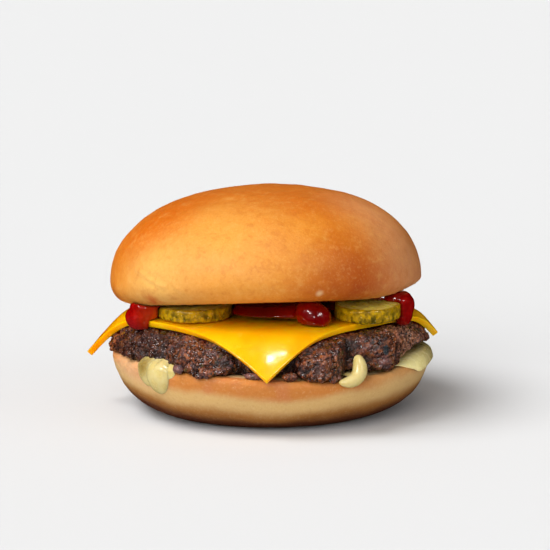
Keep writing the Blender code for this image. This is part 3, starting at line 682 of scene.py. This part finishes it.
def makePickle(node, name):
    piece = copyOfNode(node, name)
    apply(piece, "REMESH", mode="VOXEL", voxel_size=pickle["voxel"])
    apply(piece, "SMOOTH", factor=0.5, iterations=3)
    centre = Vector((*pickle["axes"][node], 0)) * mm
    radius = pickle["radius"][node] * mm

    def move(point, normal):
        out = (point - centre).xy.length
        skin = smoothShare(radius - 2.0 * mm, radius - 0.4 * mm, out)
        lump = pickle["bumps"] * (skin * rough(point, 1.9 * mm, 3) * 1.2 + 0.5 * rough(point, 4.5 * mm, 2))
        seeds = 0.0
        if out < radius - 2.5 * mm and normal.z > 0.6:
            apart = noise.voronoi(point / pickle["seedSize"])[0][0]
            seeds = pickle["seeds"] * smoothShare(0.42, 0.10, apart)
        return point + normal * (lump + seeds)

    sculpt(piece, move)
    return piece


def pickleLook(node, name):
    look = Look(name, {
        "Subsurface Weight": 0.5, "Subsurface Radius": (0.9, 0.75, 0.1), "Subsurface Scale": 2.4 * mm,
        "Specular IOR Level": 0.28, "Coat Weight": 0.15, "Coat Roughness": 0.05,
    })
    x, y = (value * mm for value in pickle["axes"][node])
    radius = pickle["radius"][node] * mm
    out = look.outward((x, y, 0))
    uneven = (look.noise(1.5 * mm, 2) - 0.5) * (1.0 * mm)
    skin = look.step(out + uneven, radius - 1.5 * mm, radius - 0.5 * mm)
    flesh = look.mix(look.noise(2.0 * mm, 3, 0.6), paint(240, 222, 112, 1), paint(206, 196, 66, 1))
    core = 1 - look.step(out, radius * 0.45, radius * 0.62)
    flesh = look.mix(core * 0.4, flesh, paint(190, 176, 66, 1))
    seedSpots = look.step(look.cells(pickle["seedSize"]), 0.30, 0.18) * core
    flesh = look.mix(seedSpots * 0.8, flesh, paint(222, 206, 130))
    blotch = look.noise(1.7 * mm, 3, 0.6)
    rind = look.mix(look.step(blotch, 0.36, 0.64), paint(206, 162, 20, 0.8), paint(146, 114, 8, 0.8))
    upright = look.stretched((1, 1, 0.55))
    patches = look.noise(1.9 * mm, 3, 0.6, at=upright)
    low = 1 - look.step(look.along((0, 0, 1)), 34.4 * mm, 37.6 * mm)
    rind = look.mix(look.step(patches, 0.46, 0.62) * (0.3 + 0.6 * low), rind, paint(72, 66, 6))
    # painted glints: small pale dots in the rind colour
    rind = look.mix(look.step(look.cells(1.1 * mm), 0.15, 0.07) * 0.7, rind, paint(240, 226, 150, 0.9))
    relief = look.bump(look.noise(0.8 * mm, 3, 0.6), 0.06 * mm)
    tint = look.mix(skin, flesh, rind)
    return look, {"Base_Color": tint, "Roughness": 0.20 + 0.18 * blotch, "Normal": relief}


# Ketchup and sauce

sauces = {
    "ketchupVoxel": 0.42 * mm,
    "ketchupSmoothing": 18,
    "ketchupRipple": 0.14 * mm,
    "ketchupSwells": (  # place and reach in mm, height: where the drops press up against the crown
        ((39.6, -19.8, 38.8), 2.8, 1.5),
        ((-41.4, -24.0, 33.6), 3.4, 0.5),
    ),
    "ketchupShadeAndShine": (  # place and reach in mm, share, colour: painted shade in the middle, a painted highlight and a painted reflection on the left drop
        # painted shade: the middle of the pool and its drop, darkened where the crown overhangs them
        ((-3, -31, 36), 17, 0.9, (84, 2, 4)),
        ((14, -40, 36), 9, 0.9, (104, 2, 4)),
        # painted highlight: orange-red where light catches the left drop
        ((-37.5, -24, 34), 8, 0.9, (214, 70, 18)),
        # painted reflection: pinkish at the left drop's lower edge
        ((-44.5, -24, 30), 6, 0.5, (176, 44, 48)),
    ),
    "sauceLevels": 2,
    "sauceSmoothing": 30,
    "spillSwell": 0.12 * mm,
    "spillAngles": (-22, 22),  # middle, half-width
    "rimLevel": 18.4 * mm,
    "tuckLevel": 19.4 * mm,  # above this a drip leans in under the patty
    "tuck": 400,  # its lean in metres for each square metre above that level
    "dripAngles": (-152, -120),
    "dripFrom": 51.4 * mm,  # the solid's own tongues are cut away outside this
    "dripSmoothing": 8,
    "sideRadius": 53.2,  # of the heel, in mm, which turns a width into an angle
    "drips": (  # angle, half-width, lowest and highest level, thickness in mm
        (-138.2, 4.6, 13.2, 25.2, 0.7),
        (-132.4, 4.9, 11.4, 24.4, 1.8),
        (-127.8, 3.4, 17.0, 24.2, 0.5),
    ),
    "sauceTintAndLight": (
        # painted light: the film over the right edge lifted out of the shade
        ((46, -27, 18), 20, 1.0, (255, 232, 158, 1)),
        ((40.5, -33.5, 15.5), 6, 0.8, (230, 182, 112)),
        # painted shade: the left drip darkened under the patty
        ((-41.0, -34.4, 20), 6.0, 0.9, (140, 112, 50)),
        # painted light: the film made pale in the gap under the patty
        ((-13, -49, 18.9), 7, 1.0, (255, 240, 208, 1)),
    ),
}


def makeKetchup(clearOf):
    piece = copyOfNode("ketchup", "ketchupPool")
    apply(piece, "REMESH", mode="VOXEL", voxel_size=sauces["ketchupVoxel"])
    apply(piece, "SMOOTH", factor=0.5, iterations=sauces["ketchupSmoothing"])

    def move(point, normal):
        ripple = sauces["ketchupRipple"] * rough(point, 3.2 * mm, 2)
        return point + normal * (ripple + swellAt(point, sauces["ketchupSwells"]))

    sculpt(piece, move)
    keepClear(piece, clearOf, 0.04 * mm)
    look = Look("thickKetchup", {
        "Subsurface Weight": 0.12, "Subsurface Radius": (1.0, 0.1, 0.05), "Subsurface Scale": 1.2 * mm,
        "Specular IOR Level": 0.42, "Coat Weight": 0.12, "Coat Roughness": 0.04,
    })
    pulp = look.noise(1.6 * mm, 2, 0.5)
    tint = look.mix(look.step(pulp, 0.4, 0.7), paint(138, 6, 4), paint(166, 14, 7))
    # painted shade, a painted highlight and a painted reflection
    tint = look.tinged(tint, sauces["ketchupShadeAndShine"])
    relief = look.bump(pulp, 0.05 * mm)
    look.wear(piece, Base_Color=tint, Roughness=0.10 + 0.12 * pulp, Normal=relief)
    settle(piece, "ketchup")
    return piece


def makeDrip(heelTree, angle, halfWidth, low, high, thickness):  # a soft drop on the heel's side
    bpy.ops.mesh.primitive_ico_sphere_add(subdivisions=5, radius=1)
    drip = bpy.context.object

    def move(point, normal):
        turn = math.radians(angle) + point.x * halfWidth / sauces["sideRadius"]
        out = Vector((math.cos(turn), math.sin(turn), 0))
        level = mm * (0.5 * (low + high) + 0.5 * (high - low) * point.y)
        height = min(level, sauces["rimLevel"])
        spot, facing, _, _ = heelTree.ray_cast(out * 0.1 + Vector((0, 0, height)), -out)
        lift = thickness * point.z if point.z > 0 else 0.4 * point.z
        tucked = sauces["tuck"] * max(0, level - sauces["tuckLevel"]) ** 2
        return spot + facing * lift * mm + Vector((0, 0, level - height)) - out * tucked

    sculpt(drip, move)
    apply(drip, "SMOOTH", factor=0.5, iterations=sauces["dripSmoothing"])
    return drip


def makeSauce(heelTree):
    piece = copyOfNode("pale_sauce", "paleSauce")
    first, last = sauces["dripAngles"]
    cut = sauces["dripFrom"]
    selectFaces(piece, lambda face: face.center.xy.length > cut and first < angleAt(face.center) < last)
    bpy.ops.mesh.delete(type="FACE")
    bpy.ops.object.mode_set(mode="OBJECT")
    subdivided(piece, sauces["sauceLevels"])
    apply(piece, "SMOOTH", factor=0.5, iterations=sauces["sauceSmoothing"])

    def spread(point, normal):  # the film over the right edge lies a little thicker
        share = angleShare(angleAt(point), *sauces["spillAngles"])
        share *= smoothShare(49 * mm, 52 * mm, point.xy.length)
        return point + normal * sauces["spillSwell"] * share

    sculpt(piece, spread)
    for shape in sauces["drips"]:  # joined one at a time, so the order is the same each run
        drip = makeDrip(heelTree, *shape)
        activate(piece)
        drip.select_set(True)
        bpy.ops.object.join()
    look = Look("paleSauce", {
        "Subsurface Weight": 0.35, "Subsurface Radius": (1.0, 0.8, 0.35), "Subsurface Scale": 1.8 * mm,
        "Specular IOR Level": 0.5, "Coat Weight": 0.3, "Coat Roughness": 0.08,
    })
    swirl = look.noise(3 * mm, 2)
    tint = look.mix(look.step(swirl, 0.35, 0.7), paint(244, 222, 150, 0.62), paint(232, 206, 124, 0.62))
    # sauce tints, with painted light on the right spill and under the patty and painted shade on the left
    # drip
    tint = look.tinged(tint, sauces["sauceTintAndLight"])
    relief = look.bump(look.noise(1.0 * mm, 3), 0.03 * mm)
    look.wear(piece, Base_Color=tint, Roughness=0.22 + 0.1 * swirl, Normal=relief)
    settle(piece, "pale_sauce")
    return piece


# Stage

stage = {
    "cameraAt": (1.34 * mm, -0.65, 0.15061),
    "cameraAim": (1.34 * mm, 0.0, 0.0434),
    "lens": 128.96,
    "floorWhite": 0.60,
    "sky": 0.34,
    "suns": (  # from, strength, angle it spans
        ((-0.52, -0.13, 0.82), 2.85, 36),
        ((-0.42, -0.83, 0.42), 2.50, 50),
        ((0.92, -0.32, 0.12), 0.85, 40),
    ),
    "boxes": (  # place, aim, size, watts: softboxes that only reflections show
        ((0.02, -0.335, 0.75), (0, -0.05, 0.03), 0.085, 1.6),
        ((-0.60, -0.62, 0.50), (0, 0, 0.05), 0.26, 4.5),
        ((-0.20, -0.90, 0.34), (0, 0, 0.03), 0.10, 2.4),
        ((0.46, -0.60, 0.50), (0, 0, 0.05), 0.16, 1.8),
    ),
}


def pointAt(thing, target):
    thing.rotation_euler = (Vector(target) - thing.location).to_track_quat("-Z", "Y").to_euler()


def makeStage():
    scene = bpy.context.scene
    bpy.ops.object.camera_add(location=stage["cameraAt"])
    camera = bpy.context.object
    pointAt(camera, stage["cameraAim"])
    camera.data.lens = stage["lens"]
    camera.data.sensor_width = 36
    camera.data.clip_end = 50
    scene.camera = camera

    bpy.ops.mesh.primitive_plane_add(size=30, location=(0, 0, -0.02 * mm))
    floor = bpy.context.object
    floor.name = "floor"
    look = Look("paleFloor", {"Roughness": 0.9, "Specular IOR Level": 0.0})
    white = stage["floorWhite"]
    look.shader.inputs["Base Color"].default_value = (white, white, white, 1)
    floor.data.materials.append(look.material)
    floor.visible_glossy = False  # glossy fillings would mirror the pale floor

    for place, strength, angle in stage["suns"]:
        bpy.ops.object.light_add(type="SUN", location=place)
        sun = bpy.context.object
        pointAt(sun, (0, 0, 0))
        sun.data.energy = strength
        sun.data.angle = math.radians(angle)
        sun.visible_glossy = False
    for place, aim, size, watts in stage["boxes"]:
        bpy.ops.object.light_add(type="AREA", location=place)
        box = bpy.context.object
        pointAt(box, aim)
        box.data.size = size
        box.data.energy = watts
        box.visible_diffuse = False
    world = bpy.data.worlds.new("studio")
    world.use_nodes = True
    world.node_tree.nodes["Background"].inputs["Color"].default_value = (1, 1, 1, 1)
    world.node_tree.nodes["Background"].inputs["Strength"].default_value = stage["sky"]
    scene.world = world
    world.cycles_visibility.glossy = False  # only the boxes shine back, so wet food keeps its colour
    scene.view_settings.view_transform = "Standard"
    print("stage ready")


makeStage()
bunCrown = makeCrown()
bunHeel = makeHeel()
cheeseSlice = makeCheese()
heelTree = treeOf(bunHeel)
paleSauce = makeSauce(heelTree)
cheeseTree, sauceTree = treeOf(cheeseSlice), treeOf(paleSauce)
beefPatty = makePatty([cheeseTree, sauceTree, heelTree])
beefCrumbs = makeCrumbs(beefPatty, [cheeseTree, sauceTree, heelTree])
seared, searedFinish = beefLook()
for piece in (beefPatty, beefCrumbs):
    seared.wear(piece, **searedFinish)
settle(beefPatty, "beef_patty")
settle(beefCrumbs, "beef_patty")
for node, name in (("pickle_left", "pickleChipLeft"), ("pickle_right", "pickleChipRight")):
    chip = makePickle(node, name)
    brined, brinedFinish = pickleLook(node, name + "Look")
    brined.wear(chip, **brinedFinish)
    settle(chip, node)
ketchupPool = makeKetchup([cheeseTree])
